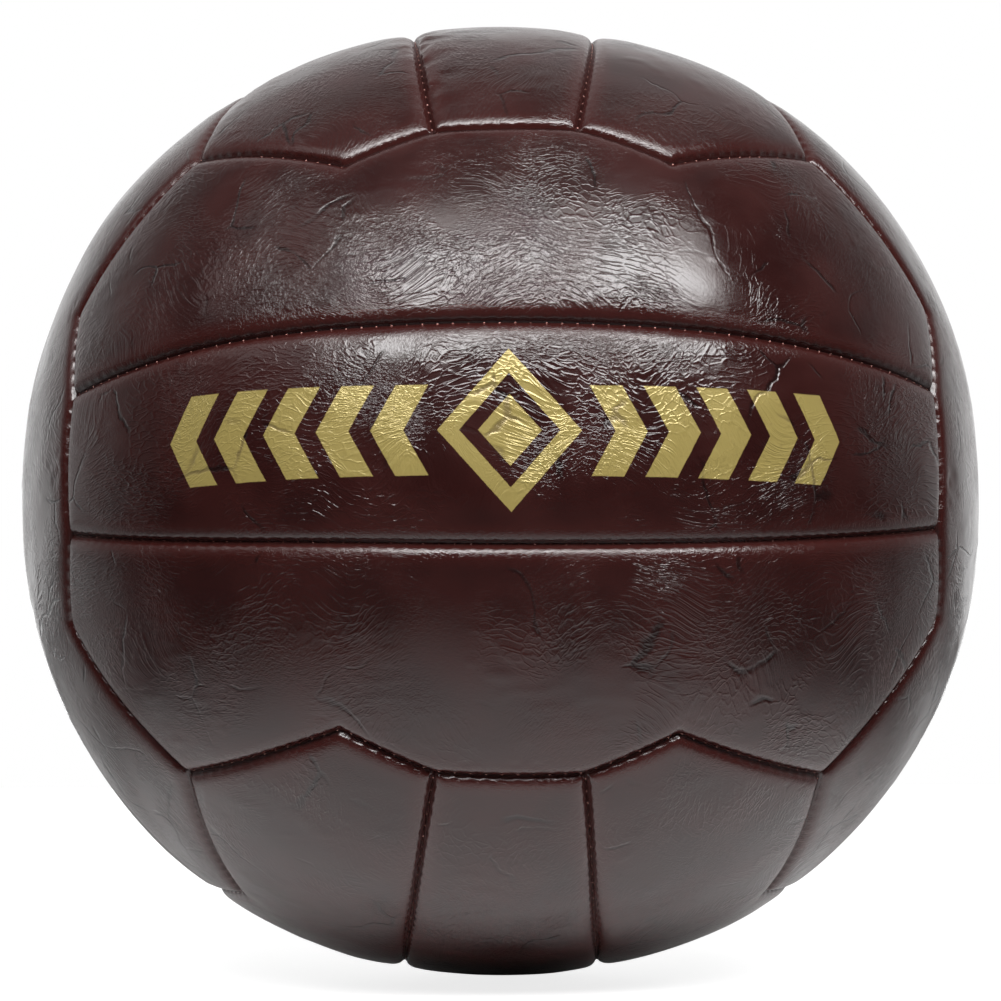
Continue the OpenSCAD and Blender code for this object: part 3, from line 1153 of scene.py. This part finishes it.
def make_filling(fibre, canvas, iron):
    def core_hole(p):
        return np.full(len(p), CORE_BAG_R + CORE_GAP)

    def bag_inside(p):
        return core_bag_radius(p) - CORE_BAG_T

    for way, half in ((1, "upper"), (-1, "lower")):
        stuffing = half_shell(f"fibre_{half}", stuffing_radius, core_hole, way, 90, 360)
        fit_out(stuffing, f"stuffing_{half}", fibre)
        bag = half_shell(f"bag_{half}", core_bag_radius, bag_inside, way, 36, 276)
        fit_out(bag, f"core_bag_{half}", canvas)
    fit_out(granules("granules"), "core_fill", iron)


def make_threads(material):
    lower = [mirrored_arc(STRIP_SEAM)]
    for name in EDGES:
        paths = [seam_path(RIGHT_SEAM, edge_turn(name))]
        add_thread(f"stitches_{name}", f"seam_thread_{name}", paths, material)
    for group in GROUPS:
        turn_matrix = group_turn(group)
        paths = [seam_path(lower, turn_matrix)]
        if group != CLOSING_GROUP:
            paths.append(seam_path([STRIP_SEAM], turn_matrix))
        add_thread(f"stitches_{group}_strips", f"strip_thread_{group}", paths, material)
    closing = [seam_path([STRIP_SEAM], group_turn(CLOSING_GROUP))]
    add_thread("stitches_closing_seam", "closing_thread", closing, material)


def add_thread(name, node_name, paths, material):
    fit_out(thread_piece(name, paths), node_name, material)


# ---- Camera, light and floor ----

CAMERA_AWAY = 547.0
CAMERA_LEFT = 0.74
CAMERA_BELOW = 7.25
CAMERA_ROLL = -0.2
LENS = 76.3


def make_camera():
    data = bpy.data.cameras.new("camera")
    data.lens = LENS
    data.sensor_width = 36.0
    camera = bpy.data.objects.new("camera", data)
    bpy.context.scene.collection.objects.link(camera)
    left, below = math.radians(CAMERA_LEFT), math.radians(CAMERA_BELOW)
    away = Vector((-math.sin(left) * math.cos(below), -math.cos(left) * math.cos(below), -math.sin(below)))
    camera.location = away * CAMERA_AWAY * MM
    look = (-away).to_track_quat("-Z", "Y").to_matrix().to_4x4()
    roll = Matrix.Rotation(math.radians(CAMERA_ROLL), 4, "Z")
    camera.matrix_world = Matrix.Translation(camera.location) @ look @ roll
    bpy.context.scene.camera = camera


def softbox(name, azimuth, elevation, away, size, brightness):
    """A large soft light that faces the ball. Azimuth 0 is the front, 90 the right."""
    data = bpy.data.lights.new(name, "AREA")
    data.shape = "RECTANGLE"
    data.size, data.size_y = size
    data.energy = brightness * math.pi * size[0] * size[1]
    light = bpy.data.objects.new(name, data)
    bpy.context.scene.collection.objects.link(light)
    a, e = math.radians(azimuth), math.radians(elevation)
    direction = Vector((math.sin(a) * math.cos(e), -math.cos(a) * math.cos(e), math.sin(e)))
    light.location = direction * away
    light.rotation_euler = direction.to_track_quat("Z", "Y").to_euler()


def make_world():
    """White all round for the camera. What lights the ball is dim in front and brighter behind."""
    world = bpy.data.worlds.new("studio")
    world.use_nodes = True
    bpy.context.scene.world = world
    tree = world.node_tree
    background = tree.nodes["Background"]
    direction = node(tree, "TexCoord").outputs["Generated"]
    _, back, up = node(tree, "SeparateXYZ", {0: direction}).outputs
    level = ramp(tree, back, -0.35, 0.7, 0.03, 0.65)
    level = calc(tree, "MULTIPLY", level, ramp(tree, up, 0.1, 0.9, 1.0, 0.3))
    at_rims = ramp(tree, back, 0.55, 0.95, 0.0, 0.5)
    straight_behind = ramp(tree, back, 0.94, 1.0, 0.0, 9.0)
    level = calc(tree, "ADD", calc(tree, "ADD", level, at_rims), straight_behind)
    seen = node(tree, "LightPath").outputs["Is Camera Ray"]
    strength = node(tree, "Mix", {0: seen, 2: level, 3: 1.0}, data_type="FLOAT").outputs[0]
    put(tree, background.inputs["Strength"], strength)
    background.inputs["Color"].default_value = (1.0, 1.0, 1.0, 1.0)


def make_floor():
    """A pale floor that the camera sees nearly white. The ball mirrors it only near itself and behind, where
    its colour is a painted pool of light.
    """
    half = 6.0
    low = CAD_LOW.z
    points = np.array([[-half, -half, low], [half, -half, low], [half, half, low], [-half, half, low]])
    floor = new_mesh("floor", points, [[0, 1, 2, 3]])
    material, tree, shader = new_material("pale_floor")
    seen = node(tree, "LightPath").outputs["Is Camera Ray"]
    place = node(tree, "TexCoord").outputs["Object"]
    away = node(tree, "VectorMath", {0: place, 1: (0.0, 0.0, low)}, operation="DISTANCE").outputs["Value"]
    # Painted light: for the rays that come from the ball, the floor's colour is a pool of light, pale near
    # the ball and behind it and nearly black further off.
    near = ramp(tree, away, 0.11, 0.27, 1.0, 0.01)
    behind = ramp(tree, node(tree, "SeparateXYZ", {0: place}).outputs[1], -0.2, 0.3, 0.0, 0.7)
    painted_light_pool = calc(tree, "MAXIMUM", near, behind)
    tone = node(tree, "Mix", {0: seen, 2: painted_light_pool, 3: 0.4}, data_type="FLOAT").outputs[0]
    put(tree, shader.inputs["Base Color"], tone)
    shader.inputs["Roughness"].default_value = 0.9
    shader.inputs["Emission Color"].default_value = (1.0, 1.0, 1.0, 1.0)
    glow = calc(tree, "MULTIPLY", seen, ramp(tree, away, 0.1, 0.5, 0.8, 1.0))
    put(tree, shader.inputs["Emission Strength"], glow)
    floor.data.materials.append(material)


def make_studio():
    make_camera()
    softbox("key_low", 8.0, 36.5, 1.0, (1.25, 0.27), 17.0)
    softbox("key_middle", 8.0, 51.0, 1.0, (1.25, 0.2), 4.5)
    softbox("key_high", 8.0, 63.0, 1.0, (1.25, 0.2), 0.3)
    softbox("overhead", 0.0, 88.0, 1.0, (1.3, 0.9), 0.12)
    softbox("fill", -50.0, 40.0, 1.0, (0.7, 0.5), 1.0)
    softbox("back", 180.0, 60.0, 1.2, (1.2, 0.8), 0.25)
    make_world()
    make_floor()
    bpy.context.scene.view_settings.view_transform = "Standard"


make_studio()
# Each cloth's second colour is painted shade for the low parts of its weave.
BACKING_CLOTH = woven_cloth("backing_cloth", (0.62, 0.58, 0.5, 1.0), (0.3, 0.27, 0.22, 1.0), 0.6)
CORE_CANVAS = woven_cloth("core_canvas", (0.42, 0.36, 0.25, 1.0), (0.16, 0.13, 0.08, 1.0), 0.9)
make_cover(cover_leather("cover_leather"), cover_leather("printed_leather", printed=True), BACKING_CLOTH)
make_threads(sewing_thread())
make_filling(packed_fibre(), CORE_CANVAS, iron_granules())
